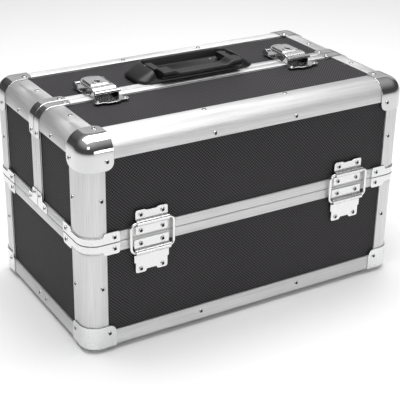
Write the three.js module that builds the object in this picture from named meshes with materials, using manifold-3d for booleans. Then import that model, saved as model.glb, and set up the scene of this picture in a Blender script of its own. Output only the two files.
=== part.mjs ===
// Make-up train case: a base box, two lid halves that swing out to front and back on ring-link
// hinges, and four trays carried on lifting arms. Millimetres, +Z up, standing on its feet at z = 0.
import * as THREE from 'three';
import { RoundedBoxGeometry } from 'three/addons/geometries/RoundedBoxGeometry.js';
import { mergeVertices } from 'three/addons/utils/BufferGeometryUtils.js';
import Module from 'manifold-3d';

const wasm = await Module();
wasm.setup();

// ---- driving dimensions ----
const WIDTH = 365, DEPTH = 208;       // over the aluminium edges
const FOOT_H = 4.5;                   // body stands this far off the ground
const PARTING = 115.5;                // where lid meets base
const TOP = 219.5;                    // top surface of the lids
const EDGE_R = 16;                    // outside radius of the edge extrusions
const SKIN = 1.8;                     // extrusion wall
const BOARD = 4;                      // panel board
const GAP = 0.3;                      // half of it each side of a parting line
const EDGE_TOP = 26, EDGE_WALL = 21;  // how far an edge extrusion covers top and wall
const POST_FRONT = 22.5, POST_SIDE = 28;
const RIM = 9.7, RIM_IN = 7.6;        // parting rim: height, and how far it wraps in
const TRIM = 17;                      // bottom trim height
const CAP = 31, CAP_T = 1.2, CAP_R = 8;   // corner caps: flap, metal, flap corner radius
const RIVET_R = 2.4, RIVET_H = 1;     // heads of the rivets that hold the corner caps
const CAP_RIVET = [24, 22], FOOT_RIVET = [23, 16];   // in from the corner, and off the lid top or the trim

const HINGE_X = 114;                  // centre of each hinge
const LINK = 30, WIRE = 1.5, BORE = 1.6;  // ring link: rod to rod, wire radius, curl bore
const LINK_HALF = 22.5;               // ring half width
const PIVOT_OUT = 2.9;                // rod centre in front of the wall face
const G_Z = PARTING - LINK / 2, K_Z = PARTING + LINK / 2;
const PIVOT_Y = -DEPTH / 2 - PIVOT_OUT;

const ARM = [56, 64];                 // arm, base pin to upper tray pin, in y and z
const PIN_A = [-84.5, 113], PIN_SPACING = 19.5;
const ARM_W = 11, ARM_T = 1.5, ARM_X = 168.6, PIN_R = 2, PIN_HOLE = 2.15;
const LID_PIN = [-54.8, 169.9];       // lid pin that carries the upper tray
const TRAY_X = 168, TRAY_H = 31, TRAY_WALL = 2;
const TRAY_Y = [-86, -4], TRAY_LOW = 125, TRAY_UP = 165.5;

const LATCH_X = 112, LATCH_HALF = 16;
const HANDLE_HALF = 68, HANDLE_BACK = 47, HANDLE_H = 12, HANDLE_LIP = -7;
const GRIP_HALF = 47, GRIP_LEG = 8.4; // half length of the grip bar, and width of its legs
const GRIP_PIVOT = [33, 7.5];         // y, height over the lid

const LOOK = {
  panel: [0x3a393c, 0.6, 0.05], aluminium: [0xc9cbce, 0.32, 0.95], chrome: [0xe3e5e8, 0.08, 1],
  steel: [0xb9bcc0, 0.28, 1], rubber: [0x161616, 0.8, 0], handle: [0x1b1b1d, 0.45, 0],
  tray: [0x222224, 0.5, 0], nickel: [0xd4d3cf, 0.15, 1],
};
const ARC = 3;

// ---- solids ----
function solid(geometry) {
  let g = geometry.index ? geometry.toNonIndexed() : geometry;
  const bare = new THREE.BufferGeometry();
  bare.setAttribute('position', g.getAttribute('position').clone());
  g = mergeVertices(bare, 1e-4);
  return new wasm.Manifold(new wasm.Mesh({
    numProp: 3, vertProperties: new Float32Array(g.getAttribute('position').array),
    triVerts: new Uint32Array(g.index.array) }));
}
const box = (x0, x1, y0, y1, z0, z1) =>
  solid(new THREE.BoxGeometry(x1 - x0, y1 - y0, z1 - z0)
    .translate((x0 + x1) / 2, (y0 + y1) / 2, (z0 + z1) / 2));
const flip = (m) => m.mirror([0, 1, 0]);     // front piece to back piece
const flipX = (m) => m.mirror([1, 0, 0]);    // left piece to right piece
const join = (list) => list.reduce((a, b) => a.add(b));

function rodX(r, x0, x1, y, z, sides = 12) {
  return solid(new THREE.CylinderGeometry(r, r, x1 - x0, sides).rotateZ(Math.PI / 2)
    .translate((x0 + x1) / 2, y, z));
}
function rodZ(r0, r1, x, y, z0, z1, sides = 14) {
  return solid(new THREE.CylinderGeometry(r1, r0, z1 - z0, sides).rotateX(Math.PI / 2)
    .translate(x, y, (z0 + z1) / 2));
}
function roundRect(x0, x1, y0, y1, r) {
  const s = new THREE.Shape();
  s.moveTo(x0 + r, y0); s.lineTo(x1 - r, y0); s.absarc(x1 - r, y0 + r, r, -Math.PI / 2, 0);
  s.lineTo(x1, y1 - r); s.absarc(x1 - r, y1 - r, r, 0, Math.PI / 2);
  s.lineTo(x0 + r, y1); s.absarc(x0 + r, y1 - r, r, Math.PI / 2, Math.PI);
  s.lineTo(x0, y0 + r); s.absarc(x0 + r, y0 + r, r, Math.PI, Math.PI * 1.5);
  return s;
}
// outline in x and y, raised along z
function slab(shape, z0, z1, curveSegments = ARC) {
  return solid(new THREE.ExtrudeGeometry(shape, { depth: z1 - z0, bevelEnabled: false, curveSegments })
    .translate(0, 0, z0));
}
// outline in y and z, drawn out along x
function alongX(shape, x0, x1, curveSegments = ARC) {
  return solid(new THREE.ExtrudeGeometry(shape, { depth: x1 - x0, bevelEnabled: false, curveSegments })
    .rotateZ(Math.PI / 2).rotateY(Math.PI / 2).translate(x0, 0, 0));
}
// outline in x and z, drawn out along y
function alongY(shape, y0, y1, curveSegments = ARC) {
  return solid(new THREE.ExtrudeGeometry(shape, { depth: y1 - y0, bevelEnabled: false, curveSegments })
    .rotateX(Math.PI / 2).translate(0, y1, 0));
}
const ring = (inset, z0, z1) =>
  slab(roundRect(-WIDTH / 2 + inset, WIDTH / 2 - inset, -DEPTH / 2 + inset, DEPTH / 2 - inset,
    Math.max(EDGE_R - inset, 1)), z0, z1);
// the whole lid volume, every edge rounded, taken in from the outside by inset; left half mirrored
function lump(inset) {
  const h = 2 * (TOP - PARTING) + 60;
  const half = solid(new RoundedBoxGeometry(WIDTH - 2 * inset, DEPTH - 2 * inset, h - 2 * inset, 3,
    EDGE_R - inset).translate(0, 0, TOP - h / 2)).intersect(box(-WIDTH, 0, -WIDTH, WIDTH, -WIDTH, WIDTH));
  return half.add(flipX(half));
}

// ---- assembly ----
const group = new THREE.Group();
group.name = 'train_case';
function put(name, manifold, look) {
  const m = manifold.getMesh();
  const geometry = new THREE.BufferGeometry();
  geometry.setAttribute('position', new THREE.BufferAttribute(new Float32Array(m.vertProperties), 3));
  geometry.setIndex(new THREE.BufferAttribute(new Uint32Array(m.triVerts), 1));
  geometry.computeVertexNormals();
  const [color, roughness, metalness] = LOOK[look];
  const mesh = new THREE.Mesh(geometry, new THREE.MeshStandardMaterial({ color, roughness, metalness }));
  mesh.name = name;
  group.add(mesh);
}
const SIDES = [['left', (m) => m], ['right', flipX]];
const HALVES = [['front', (m) => m], ['rear', flip]];
const CORNERS = HALVES.flatMap(([h, fh]) => SIDES.map(([s, fs]) => [`${h}_${s}`, (m) => fs(fh(m))]));

// ---- base ----
const X = WIDTH / 2, Y = DEPTH / 2, INSIDE = SKIN + BOARD;
const wallHole = rodX(PIN_HOLE + 0.1, X - RIM_IN - 1, X - INSIDE + 2.5, 0, 0);
const armPins = [0, 1].map((i) => [PIN_A[0] + i * PIN_SPACING, PIN_A[1]]);
const baseHoles = join(SIDES.flatMap(([, fs]) => HALVES.flatMap(([, fh]) =>
  armPins.map(([y, z]) => fs(flipX(fh(wallHole.translate([0, y, z]))))))));
put('base_walls', ring(SKIN, FOOT_H + 2, PARTING - 2).subtract(ring(INSIDE, 0, TOP))
  .subtract(baseHoles), 'panel');
put('base_floor', ring(INSIDE + 0.1, FOOT_H + 2, FOOT_H + 2 + BOARD), 'panel');
put('base_rim', ring(0, PARTING - RIM, PARTING - GAP / 2).subtract(ring(RIM_IN, 0, TOP))
  .subtract(ring(SKIN - 0.05, 0, PARTING - 1.95).subtract(ring(INSIDE + 0.05, 0, TOP)))
  .subtract(baseHoles), 'aluminium');
put('base_bottom_trim', ring(0, FOOT_H, FOOT_H + TRIM).subtract(ring(SKIN - 0.05, FOOT_H + SKIN, TOP))
  .subtract(ring(20, 0, TOP)), 'aluminium');
const skinWall = ring(0, FOOT_H + TRIM + 0.1, PARTING - RIM - 0.1).subtract(ring(SKIN - 0.05, 0, TOP));
const corner = (wx, wy, z0, z1) => box(-X - 5, -X + wx, -Y - 5, -Y + wy, z0, z1);
// one flap each way with its free corner rounded
function flaps(w, d, h, up) {
  const z0 = up ? TOP - h : FOOT_H + h - 90, z1 = up ? TOP + 90 - h : FOOT_H + h;
  return slab(roundRect(-X - 90 + w, -X + w, -Y - 90 + d, -Y + d, CAP_R), z0, z1)
    .intersect(alongX(roundRect(-Y - 90 + d, -Y + d, z0, z1, CAP_R), -X - 90, -X + w))
    .intersect(alongY(roundRect(-X - 90 + w, -X + w, z0, z1, CAP_R), -Y - 90, -Y + d));
}
// rivet heads on the front and side flaps of the front left cap, reaching into its metal
function capRivets(inward, z) {
  const head = (half, across) => rodX(RIVET_R, -half - CAP_T - RIVET_H, -half - CAP_T + 0.4, across, z);
  return head(X, -Y + inward).add(head(Y, X - inward).rotate([0, 0, 90]));
}
const post = skinWall.intersect(corner(POST_FRONT, POST_SIDE, 0, TOP));
const bottomCap = slab(roundRect(-X - CAP_T, X + CAP_T, -Y - CAP_T, Y + CAP_T, EDGE_R + CAP_T),
  FOOT_H - CAP_T, FOOT_H + 24).subtract(ring(0, FOOT_H, TOP)).intersect(flaps(30, 30, 24, false))
  .add(capRivets(FOOT_RIVET[0], FOOT_H + FOOT_RIVET[1]));
for (const [where, at] of CORNERS) {
  put(`base_post_${where}`, at(post), 'aluminium');
  put(`bottom_cap_${where}`, at(bottomCap), 'steel');
  put(`foot_${where}`, at(rodZ(6.1, 6.8, -X + 17, -Y + 17, 0, FOOT_H - CAP_T)), 'rubber');
}

// ---- hinges ----
// a pressed plate on the wall with a curl that takes one rod of the ring
function hingePlate(z0, z1, pivotZ, half, earHalf, earZ0, earZ1) {
  const plate = box(-half, half, -Y - CAP_T, -Y, z0, z1)
    .add(box(-earHalf, earHalf, -Y - CAP_T, -Y, earZ0, earZ1));
  const curl = rodX(WIRE + 1.5, -half, half, PIVOT_Y, pivotZ)
    .add(box(-half, half, PIVOT_Y, -Y, pivotZ - 3, pivotZ + 3));
  return plate.add(curl).subtract(rodX(BORE, -60, 60, PIVOT_Y, pivotZ));
}
const lidPlate = hingePlate(PARTING + 2.3, K_Z + 6, K_Z, 17, 17, K_Z + 5, K_Z + 12.6);
const basePlate = hingePlate(G_Z - 14, PARTING - 2.6, G_Z, 18.5, 17, G_Z - 24.5, G_Z - 13);
// closed wire ring: four rods with balls at the corners
function linkRing() {
  const parts = [];
  for (const z of [G_Z, K_Z]) {
    parts.push(rodX(WIRE, -LINK_HALF, LINK_HALF, PIVOT_Y, z));
    for (const x of [-LINK_HALF, LINK_HALF]) {
      parts.push(solid(new THREE.SphereGeometry(WIRE, 12, 6)
        .translate(x, PIVOT_Y, z)));
    }
  }
  for (const x of [-LINK_HALF, LINK_HALF]) parts.push(rodZ(WIRE, WIRE, x, PIVOT_Y, G_Z, K_Z, 12));
  return join(parts);
}
for (const [half, fh] of HALVES) {
  for (const [side, fs] of SIDES) {
    const at = (m) => fs(fh(m.translate([-HINGE_X, 0, 0])));
    put(`hinge_base_plate_${half}_${side}`, at(basePlate), 'steel');
    put(`hinge_lid_plate_${half}_${side}`, at(lidPlate), 'steel');
    put(`hinge_ring_${half}_${side}`, at(linkRing()), 'nickel');
  }
}

// ---- lids ----
const lidRoom = box(-X - 5, X + 5, -Y - 5, -GAP / 2, PARTING + GAP / 2, TOP + 5);
const shellOut = lump(SKIN), shellIn = lump(INSIDE);
const lidPin = join(SIDES.map(([, fs]) =>
  fs(rodX(PIN_R, -X + INSIDE - 0.5, -TRAY_X + 0.6, LID_PIN[0], LID_PIN[1]))));
const shell = shellOut.subtract(shellIn)
  .intersect(box(-X, X, -Y, -2, PARTING + 2, TOP)).add(lidPin);
const strips = join([
  box(-X, X, -Y, -Y + EDGE_TOP, TOP - EDGE_WALL, TOP),
  ...SIDES.flatMap(([, fs]) => [
    fs(box(-X, -X + EDGE_TOP, -Y, 0, TOP - EDGE_WALL, TOP)),
    fs(box(-X, -X + POST_FRONT, -Y, -Y + POST_SIDE, PARTING, TOP))])]);
const lidSkin = lump(0).subtract(lump(SKIN - 0.05)).intersect(strips);
const rimSkin = lump(0).subtract(lump(RIM_IN)).intersect(join([
  box(-X, X, -Y, 0, PARTING, PARTING + RIM), box(-X, X, -RIM, 0, PARTING, TOP)]))
  .subtract(lump(SKIN - 0.05).subtract(lump(INSIDE + 0.05))
    .intersect(box(-X, X, -Y, -1.95, PARTING + 1.95, TOP)));
const lidFrame = lidSkin.add(rimSkin).intersect(lidRoom);
const topCap = lump(-CAP_T).subtract(lump(0)).intersect(flaps(CAP, CAP, CAP, true))
  .add(capRivets(CAP_RIVET[0], TOP - CAP_RIVET[1]))
  .add(rodZ(RIVET_R, RIVET_R, -X + CAP_RIVET[0], -Y + CAP_RIVET[0], TOP + CAP_T - 0.4,
    TOP + CAP_T + RIVET_H));
for (const [half, fh] of HALVES) {
  put(`lid_${half}_shell`, fh(shell), 'panel');
  put(`lid_${half}_frame`, fh(lidFrame), 'aluminium');
  for (const [side, fs] of SIDES) put(`lid_corner_${half}_${side}`, fs(fh(topCap)), 'chrome');
}

// ---- trays and their arms ----
function tray(z, pins, slotted) {
  const [y0, y1] = TRAY_Y;
  let body = box(-TRAY_X, TRAY_X, y0, y1, z, z + TRAY_H)
    .subtract(box(-TRAY_X + TRAY_WALL, TRAY_X - TRAY_WALL, y0 + TRAY_WALL, y1 - TRAY_WALL,
      z + TRAY_WALL, z + TRAY_H + 1));
  for (const x of [-56, 56]) body = body.add(box(x - 0.6, x + 0.6, y0 + 1, y1 - 1, z + 1, z + TRAY_H - 6));
  for (const [y, h] of pins) body = body.subtract(rodX(PIN_HOLE, -X, X, y, h));
  if (slotted) body = body.subtract(rodX(PIN_R + 2.4, -X, X, LID_PIN[0], LID_PIN[1]));
  return body;
}
const pinsAt = (f) => armPins.map(([y, z]) => [y + f * ARM[0], z + f * ARM[1]]);
const armLen = Math.hypot(...ARM), armTilt = Math.atan2(ARM[1], ARM[0]);
function arm([y, z]) {
  const r = ARM_W / 2, s = new THREE.Shape();
  s.moveTo(0, -r); s.lineTo(armLen, -r); s.absarc(armLen, 0, r, -Math.PI / 2, Math.PI / 2);
  s.lineTo(0, r); s.absarc(0, 0, r, Math.PI / 2, Math.PI * 1.5);
  const strip = alongX(s, -ARM_X - ARM_T, -ARM_X, 5);
  const pins = [0.5, 1].map((f) => rodX(PIN_R, -ARM_X - 0.5, -TRAY_X + TRAY_WALL + 0.4, f * armLen, 0));
  const foot = rodX(PIN_R, -X + INSIDE - 2, -ARM_X - 0.5, 0, 0);
  return join([strip, ...pins, foot]).rotate([armTilt * 180 / Math.PI, 0, 0]).translate([0, y, z]);
}
for (const [half, fh] of HALVES) {
  put(`tray_lower_${half}`, fh(tray(TRAY_LOW, pinsAt(0.5), false)), 'tray');
  put(`tray_upper_${half}`, fh(tray(TRAY_UP, pinsAt(1), true)), 'tray');
  for (const [side, fs] of SIDES) {
    put(`arm_outer_${half}_${side}`, fs(fh(arm(armPins[0]))), 'steel');
    put(`arm_inner_${half}_${side}`, fs(fh(arm(armPins[1]))), 'steel');
  }
}

// ---- key latches over the split: catch on the front lid, lever on the back lid ----
const outline = (points) => new THREE.Shape(points.map(([y, h]) => new THREE.Vector2(y, TOP + h)));
const LH = LATCH_HALF, PIVOT = [27, 5];
const catchPlate = join([
  alongX(outline([[-28, 0], [-0.5, 0], [-0.5, 0.9], [-7.9, 8.2], [-15, 8.2], [-15, 6.6], [-8.6, 6.6],
    [-3.5, 1.4], [-28, 1.4]]), -LH + 2, LH - 2),
  ...[-1, 1].map((s) => alongX(outline([[-12.5, 1], [-2, 1], [-8, 7.4], [-12.5, 7.4]]),
    s > 0 ? LH - 3.5 : 2 - LH, s > 0 ? LH - 2 : 3.5 - LH)),
  box(-LH - 2, LH + 2, -25, -18, TOP, TOP + 1.4)]);
const leverPlate = alongX(outline([[0.5, 0], [34, 0], [34, 1.4], [0.5, 1.4]]), -LH, LH)
  .add(join([-1, 1].map((s) => box(s > 0 ? LH - 2.4 : -LH, s > 0 ? LH : 2.4 - LH, 21, 33, TOP, TOP + 8))))
  .subtract(rodX(BORE, -LH - 1, LH + 1, PIVOT[0], TOP + PIVOT[1]));
const lever = join([
  alongX(outline([[-8.2, 9], [-7, 8.1], [0.9, 8.1], [30, 7], [30, 8.8], [1, 10], [-7.6, 10]]),
    -LH + 2.8, LH - 2.8),
  alongX(outline([[22, 3], [30, 3], [30.6, 8], [21, 8.2]]), -LH + 2.8, LH - 2.8),
  rodZ(5.5, 5, 0, 8, TOP + 8.2, TOP + 10.6),
  rodX(WIRE, -LH + 0.3, LH - 0.3, PIVOT[0], TOP + PIVOT[1])]);
for (const [side, x] of [['left', -LATCH_X], ['right', LATCH_X]]) {
  put(`latch_catch_${side}`, catchPlate.translate([x, 0, 0]), 'steel');
  put(`latch_plate_${side}`, leverPlate.translate([x, 0, 0]), 'steel');
  put(`latch_lever_${side}`, lever.translate([x, 0, 0]), 'steel');
}

// ---- carrying handle: a well on the back lid, and a grip that folds up out of it ----
const H = HANDLE_HALF, B = HANDLE_BACK;
const wellBody = slab(roundRect(-H, H, 0.6, B, 14), TOP, TOP + HANDLE_H);
const lip = alongX(outline([[0.6, 0.8], [5, 0.8], [5, 3.4], [-1.2, 3.4]]), -H + 8, H - 8);
const wellRoom = slab(roundRect(-GRIP_HALF - 0.6, GRIP_HALF + 0.6, -20, B - 6.5, 4), TOP + 3.4, TOP + 40);
put('handle_well', wellBody.add(lip).subtract(wellRoom)
  .subtract(rodX(BORE + 1, -GRIP_HALF - 6, GRIP_HALF + 6, GRIP_PIVOT[0], TOP + GRIP_PIVOT[1])), 'handle');
const gripBar = alongX(outline([[-4.3, 5.4], [HANDLE_LIP, 8.1], [HANDLE_LIP, 11.2], [-4.5, 13.5], [9, 13.5],
  [12, 11], [12, 6], [9, 3.9], [-3, 3.9]]), -GRIP_HALF, GRIP_HALF);
const legSide = outline([[8, 4.2], [34.5, 4.2], [36.3, 6], [36.3, 9], [34.5, 10.8], [8, 10.8]]);
const span = (s, a, b) => (s > 0 ? [a, b] : [-b, -a]);
const legs = join([-1, 1].map((s) => join([
  alongX(legSide, ...span(s, GRIP_HALF - GRIP_LEG, GRIP_HALF)),
  rodX(2.4, ...span(s, GRIP_HALF - 0.4, GRIP_HALF + 3.6), GRIP_PIVOT[0], TOP + GRIP_PIVOT[1])])));
put('handle_grip', gripBar.add(legs), 'handle');

export default group;
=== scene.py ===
# %% [markdown]
# # A make-up train case with aluminium edges
# The case is a deep base box under two lid halves. Each half swings out on ring-link hinges and lifts two
# trays on arms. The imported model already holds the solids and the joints, so this lesson only builds the
# fine surfaces over it: boards, edge extrusions, pressed corners, hinges, latches, handle and lining.

# %% Load the frame
import math
import bpy
import bmesh
from mathutils import Matrix, Vector


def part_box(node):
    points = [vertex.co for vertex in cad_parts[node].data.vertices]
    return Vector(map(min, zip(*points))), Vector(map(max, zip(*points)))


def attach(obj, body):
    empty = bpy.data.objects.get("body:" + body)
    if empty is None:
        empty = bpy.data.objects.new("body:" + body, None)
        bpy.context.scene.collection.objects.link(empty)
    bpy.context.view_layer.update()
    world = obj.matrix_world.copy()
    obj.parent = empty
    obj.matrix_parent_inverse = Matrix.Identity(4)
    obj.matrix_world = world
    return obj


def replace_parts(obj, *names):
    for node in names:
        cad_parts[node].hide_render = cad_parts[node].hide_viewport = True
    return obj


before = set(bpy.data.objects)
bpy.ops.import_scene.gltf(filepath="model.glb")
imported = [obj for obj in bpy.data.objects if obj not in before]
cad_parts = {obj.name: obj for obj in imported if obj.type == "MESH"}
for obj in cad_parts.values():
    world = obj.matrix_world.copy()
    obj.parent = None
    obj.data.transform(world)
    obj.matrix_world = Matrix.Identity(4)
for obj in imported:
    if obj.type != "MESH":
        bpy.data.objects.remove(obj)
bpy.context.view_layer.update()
MM = 0.001

# %% [markdown]
# ## Sizes read from the frame
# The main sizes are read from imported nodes, in millimetres, so that the fine pieces follow the parts that
# carry them. Radii, sheet thicknesses and the places of small pieces can't be read from a box, so they are
# written here and must be kept the same as in the solids.

# %% Read the sizes
def low_high(node):
    lo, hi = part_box(node)
    return lo / MM, hi / MM

rim_hi = low_high("base_rim")[1]
X, Y = rim_hi.x, rim_hi.y                      # half length and half depth over the aluminium
TOP = low_high("lid_front_frame")[1].z
BOTTOM = low_high("base_bottom_trim")[0].z
TRIM_TOP = low_high("base_bottom_trim")[1].z
RIM = 9.7                                      # height of each parting rim
PARTING = rim_hi.z + 0.15
EDGE_R = 16.0                                  # outside radius of the extrusions
SKIN = 1.8                                     # metal thickness of an extrusion
BOARD = 4.0
print("case", 2 * X, "x", 2 * Y, "parting", round(PARTING, 2), "top", TOP, "mm")

# %% [markdown]
# ## Camera and light
# A product shot stands the case on a pale sheet with broad soft light from above and the left. The camera
# is long and a little above the lid, turned so that the front and the left side both show. Polished metal
# only looks like metal when it has something dark to mirror, so the room is dark near the horizon.

# %% Camera
def aim(azimuth, elevation, roll):
    """Right, up and back axes of a camera that looks along azimuth (from +Y towards +X) and elevation."""
    a, e, r = map(math.radians, (azimuth, elevation, roll))
    ahead = Vector((math.sin(a) * math.cos(e), math.cos(a) * math.cos(e), math.sin(e)))
    right = ahead.cross(Vector((0, 0, 1))).normalized()
    up = right.cross(ahead)
    tilted = right * math.cos(r) + up * math.sin(r)
    return Matrix((tilted, up * math.cos(r) - right * math.sin(r), -ahead)).transposed()

camera = bpy.data.objects.new("camera", bpy.data.cameras.new("camera"))
camera.data.lens, camera.data.sensor_width = 98.25, 36.0
camera.data.clip_start, camera.data.clip_end = 0.05, 60.0
camera.matrix_world = Matrix.Translation((-0.5462, -0.9025, 0.5811)) @ aim(31.264, -25.39, 1.031).to_4x4()
bpy.context.scene.collection.objects.link(camera)
bpy.context.scene.camera = camera
print("camera", [round(c, 3) for c in camera.location])

# %% [markdown]
# ## The studio
# Large soft lamps give the even light that a black and silver case needs, and area lamps do the same here.
# One sits overhead, a small one stands at the left, a low one fills the front and a wide one stands behind
# at the right. The world behind them is dark near the horizon and light overhead, because a plain white
# world would leave the metal with no contrast.

# %% Light and floor
LIT_POINT = Vector((0, 0, 0.1))                 # every lamp faces the middle of the case

def softbox(name, size, power, at):
    lamp = bpy.data.lights.new(name, "AREA")
    lamp.shape, lamp.size, lamp.size_y, lamp.energy = "RECTANGLE", size[0], size[1], power
    box = bpy.data.objects.new(name, lamp)
    box.location = at
    box.rotation_euler = (Vector(at) - LIT_POINT).to_track_quat("Z", "Y").to_euler()
    bpy.context.scene.collection.objects.link(box)

softbox("overhead", (1.5, 1.1), 20, (0.0, 0.1, 1.35))
softbox("left_key", (0.35, 0.35), 1.2, (-0.9, -1.0, 1.1))
softbox("front_fill", (1.6, 0.5), 8, (0.5, -2.0, 0.45))
softbox("far_right", (3.4, 1.3), 7, (1.3, 1.8, 1.1))

world = bpy.data.worlds.new("studio")
world.use_nodes = True
sky = world.node_tree
ramp = sky.nodes.new("ShaderNodeValToRGB")
height = sky.nodes.new("ShaderNodeSeparateXYZ")
sky.links.new(sky.nodes.new("ShaderNodeTexCoord").outputs[0], height.inputs[0])
sky.links.new(height.outputs[2], ramp.inputs[0])
sky.links.new(ramp.outputs[0], sky.nodes["Background"].inputs[0])
ramp.color_ramp.elements[0].color, ramp.color_ramp.elements[1].color = (0.13, 0.13, 0.13, 1), (1, 1, 1, 1)
for stop, grey in ((0.32, 0.1), (0.5, 0.22), (0.75, 0.6)):
    ramp.color_ramp.elements.new(stop).color = (grey, grey, grey, 1)
sky.nodes["Background"].inputs[1].default_value = 0.68
bpy.context.scene.world = world
bpy.context.scene.view_settings.view_transform = "Standard"

# %% [markdown]
# ## Finishes
# Each finish is a small node tree: a colour that wanders a little, a roughness that wanders with it, and
# bump for whatever relief the real surface has. The relief is set out in real metres along each piece, so
# the same groove or dot pitch holds on a long extrusion and on a short one.

# %% A helper for node trees
class Finish:
    """One material with a principled shader, and short calls to add and join nodes."""
    def __init__(self, name, colour, roughness, metallic=0.0, **fixed):
        self.material = bpy.data.materials.new(name)
        self.material.use_nodes = True
        self.nodes, self.links = self.material.node_tree.nodes, self.material.node_tree.links
        self.shader = self.nodes["Principled BSDF"]
        self.put(self.shader, "Base Color", (*colour, 1))
        self.put(self.shader, "Roughness", roughness)
        self.put(self.shader, "Metallic", metallic)
        for socket, value in fixed.items():
            self.put(self.shader, socket.replace("_", " ").title().replace("Ior", "IOR"), value)

    def put(self, node, socket, value):
        if isinstance(value, bpy.types.NodeSocket):
            self.links.new(value, node.inputs[socket])
        else:
            node.inputs[socket].default_value = value

    def add(self, kind, inputs=(), out=0, **settings):
        node = self.nodes.new("ShaderNode" + kind)
        for key, value in settings.items():
            setattr(node, key, value)
        for socket, value in dict(inputs).items():
            self.put(node, socket, value)
        return node.outputs[out]

    def maths(self, operation, a, b=0.0):
        return self.add("Math", {0: a, 1: b}, operation=operation)

    def stretch(self, value, low, high):
        return self.add("MapRange", {"Value": value, "To Min": low, "To Max": high})

    def surface(self):
        """Distances along and across the piece, in metres."""
        split = self.nodes.new("ShaderNodeSeparateXYZ")
        self.links.new(self.add("TexCoord", out=2), split.inputs[0])
        return split.outputs[0], split.outputs[1]

    def patch(self, scale, detail=3.0, vector=None):
        place = vector if vector is not None else self.add("TexCoord", out=3)
        return self.add("TexNoise", {"Vector": place, "Scale": scale, "Detail": detail})

    def wander(self, source, dark, light):
        ramp = self.nodes.new("ShaderNodeValToRGB")
        ramp.color_ramp.elements[0].color, ramp.color_ramp.elements[1].color = (*dark, 1), (*light, 1)
        ramp.color_ramp.elements[0].position, ramp.color_ramp.elements[1].position = 0.3, 0.7
        self.links.new(source, ramp.inputs[0])
        self.put(self.shader, "Base Color", ramp.outputs[0])

    def rough(self, source, low, high):
        self.put(self.shader, "Roughness", self.stretch(source, low, high))

    def relief(self, height, depth, strength=1.0, under=None):
        """Bump from height, whose full range stands depth metres."""
        inputs = {"Height": height, "Distance": depth, "Strength": strength}
        if under is not None:
            inputs["Normal"] = under
        bump = self.add("Bump", inputs)
        self.put(self.shader, "Normal", bump)
        return bump

# %% [markdown]
# ## Covering
# The boards wear a black vinyl with a grid of raised dots. Two sine waves multiplied together make such a
# grid without any image. The same value drives colour, roughness and bump, so each dot is lighter, smoother
# and higher than the gaps round it.

# %% Dotted black covering
def dotted(name, dark, light, pitch=0.0033, depth=0.00018):
    f = Finish(name, light, 0.5, specular_ior_level=0.25)
    u, v = f.surface()
    wave = lambda s: f.maths("SINE", f.maths("MULTIPLY", s, 2 * math.pi / pitch))
    dots = f.maths("MULTIPLY", wave(u), wave(v))
    grid = f.stretch(f.maths("ADD", f.maths("MULTIPLY", dots, 0.5), 0.5), 0.0, 1.0)
    f.wander(f.add("Mix", {0: 0.15, 2: grid, 3: f.patch(14)}), dark, light)
    f.rough(grid, 0.75, 0.58)
    f.relief(grid, depth)
    return f.material

COVERING = dotted("dotted_covering", (0.003, 0.0027, 0.003), (0.058, 0.054, 0.059))

# %% [markdown]
# ## Aluminium
# Drawn aluminium keeps fine lines from the die along its whole length. A sine wave across the bar gives the
# grooves, and a noise stretched along the bar gives the uneven streaks. Anisotropy spreads the highlight
# across the lines, as brushed metal does.

# %% Grooved satin aluminium
def grooved(name, colour, roughness, pitch=0.0012, depth=0.00009):
    f = Finish(name, colour, roughness, 1.0, anisotropic=0.4)
    u, v = f.surface()
    lines = f.maths("SINE", f.maths("MULTIPLY", v, 2 * math.pi / pitch))
    along = f.add("CombineXYZ", {0: f.maths("MULTIPLY", u, 12.0), 1: f.maths("MULTIPLY", v, 900.0)})
    drawn = f.patch(1.0, 4.0, along)
    f.wander(drawn, tuple(c * 0.86 for c in colour), tuple(min(1, c * 1.06) for c in colour))
    f.rough(f.patch(30), roughness - 0.05, roughness + 0.07)
    f.relief(drawn, 0.00002, under=f.add("Bump", {"Height": lines, "Distance": depth}))
    return f.material

ALUMINIUM = grooved("grooved_aluminium", (0.71, 0.71, 0.712), 0.46)

# %% [markdown]
# ## Plated steel
# Corners, plates and wire are plated steel that differ mostly in how polished they are. One function with a
# low and a high roughness makes them all, and a weak ripple keeps the mirror from looking too perfect.

# %% Bright and pressed metals
def plated(name, colour, low, high, ripple=0.00001):
    f = Finish(name, colour, low, 1.0)
    cloud = f.patch(45)
    f.wander(f.patch(9), tuple(c * 0.94 for c in colour), colour)
    f.rough(cloud, low, high)
    f.relief(cloud, ripple, 0.6)
    return f.material

CHROME = plated("corner_chrome", (0.7, 0.7, 0.705), 0.05, 0.11)
NICKEL = plated("pressed_nickel", (0.77, 0.77, 0.772), 0.2, 0.32)
CAP_STEEL = plated("satin_cap_steel", (0.8, 0.805, 0.81), 0.22, 0.34)
LATCH_CHROME = plated("latch_chrome", (0.7, 0.7, 0.705), 0.1, 0.17, 0.000004)
WIRE = plated("ring_wire", (0.82, 0.815, 0.8), 0.12, 0.2)
ARM_STEEL = plated("arm_steel", (0.62, 0.62, 0.63), 0.28, 0.4)

# %% [markdown]
# ## Plastic, rubber and lining
# The handle and trays are moulded with a fine grain, the feet are dull rubber, and the lining is a short
# felt. Grain is small noise in the bump. Felt also needs sheen, the pale edge that loose fibres show.

# %% Moulded plastic, rubber and lining
def moulded(name, colour, roughness, grain=900, depth=0.00004):
    f = Finish(name, colour, roughness)
    skin = f.patch(grain, 2.0)
    f.wander(f.patch(20), tuple(c * 0.8 for c in colour), tuple(c * 1.2 for c in colour))
    f.rough(skin, roughness - 0.06, roughness + 0.08)
    f.relief(skin, depth)
    return f.material

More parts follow.
